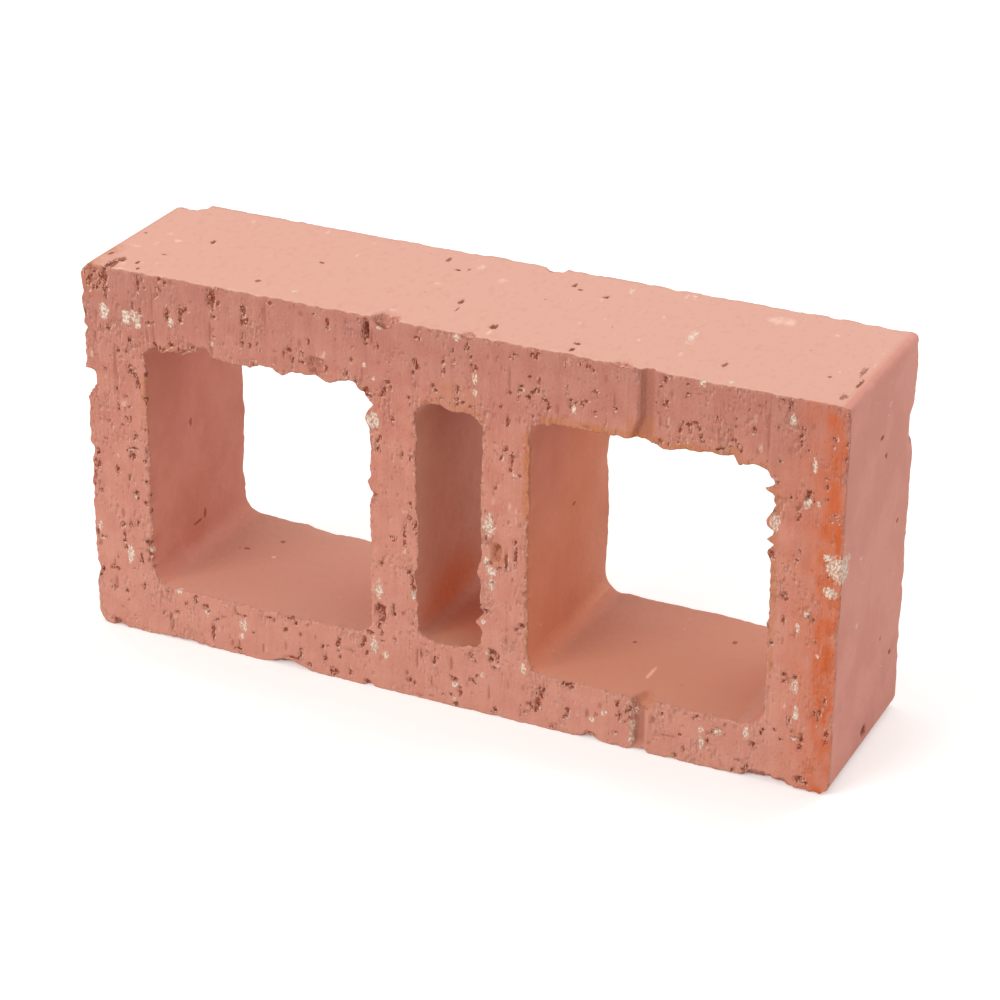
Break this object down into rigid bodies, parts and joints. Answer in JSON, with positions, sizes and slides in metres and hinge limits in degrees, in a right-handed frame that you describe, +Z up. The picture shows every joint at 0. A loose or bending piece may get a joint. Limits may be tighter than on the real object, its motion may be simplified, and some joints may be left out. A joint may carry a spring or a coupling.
{
  "type": "clay brick",
  "caption": "Fired clay brick, wire-cut and hollow, with large rounded cells either side of a narrow upright slot, standing on its long narrow side.",
  "frame": {"origin": "middle of the footprint, on the level the brick stands on", "axes": "+X along the brick, +Y from the worn cut face through the brick to the other cut face, +Z up"},
  "size_m": [0.29, 0.07, 0.145],
  "materials": {
    "fired_clay": "unglazed, matt, salmon red, with torn wire-cut faces and light grit"
  },
  "bodies": {
    "root": {"brick": "fired_clay"}
  },
  "joints": []
}
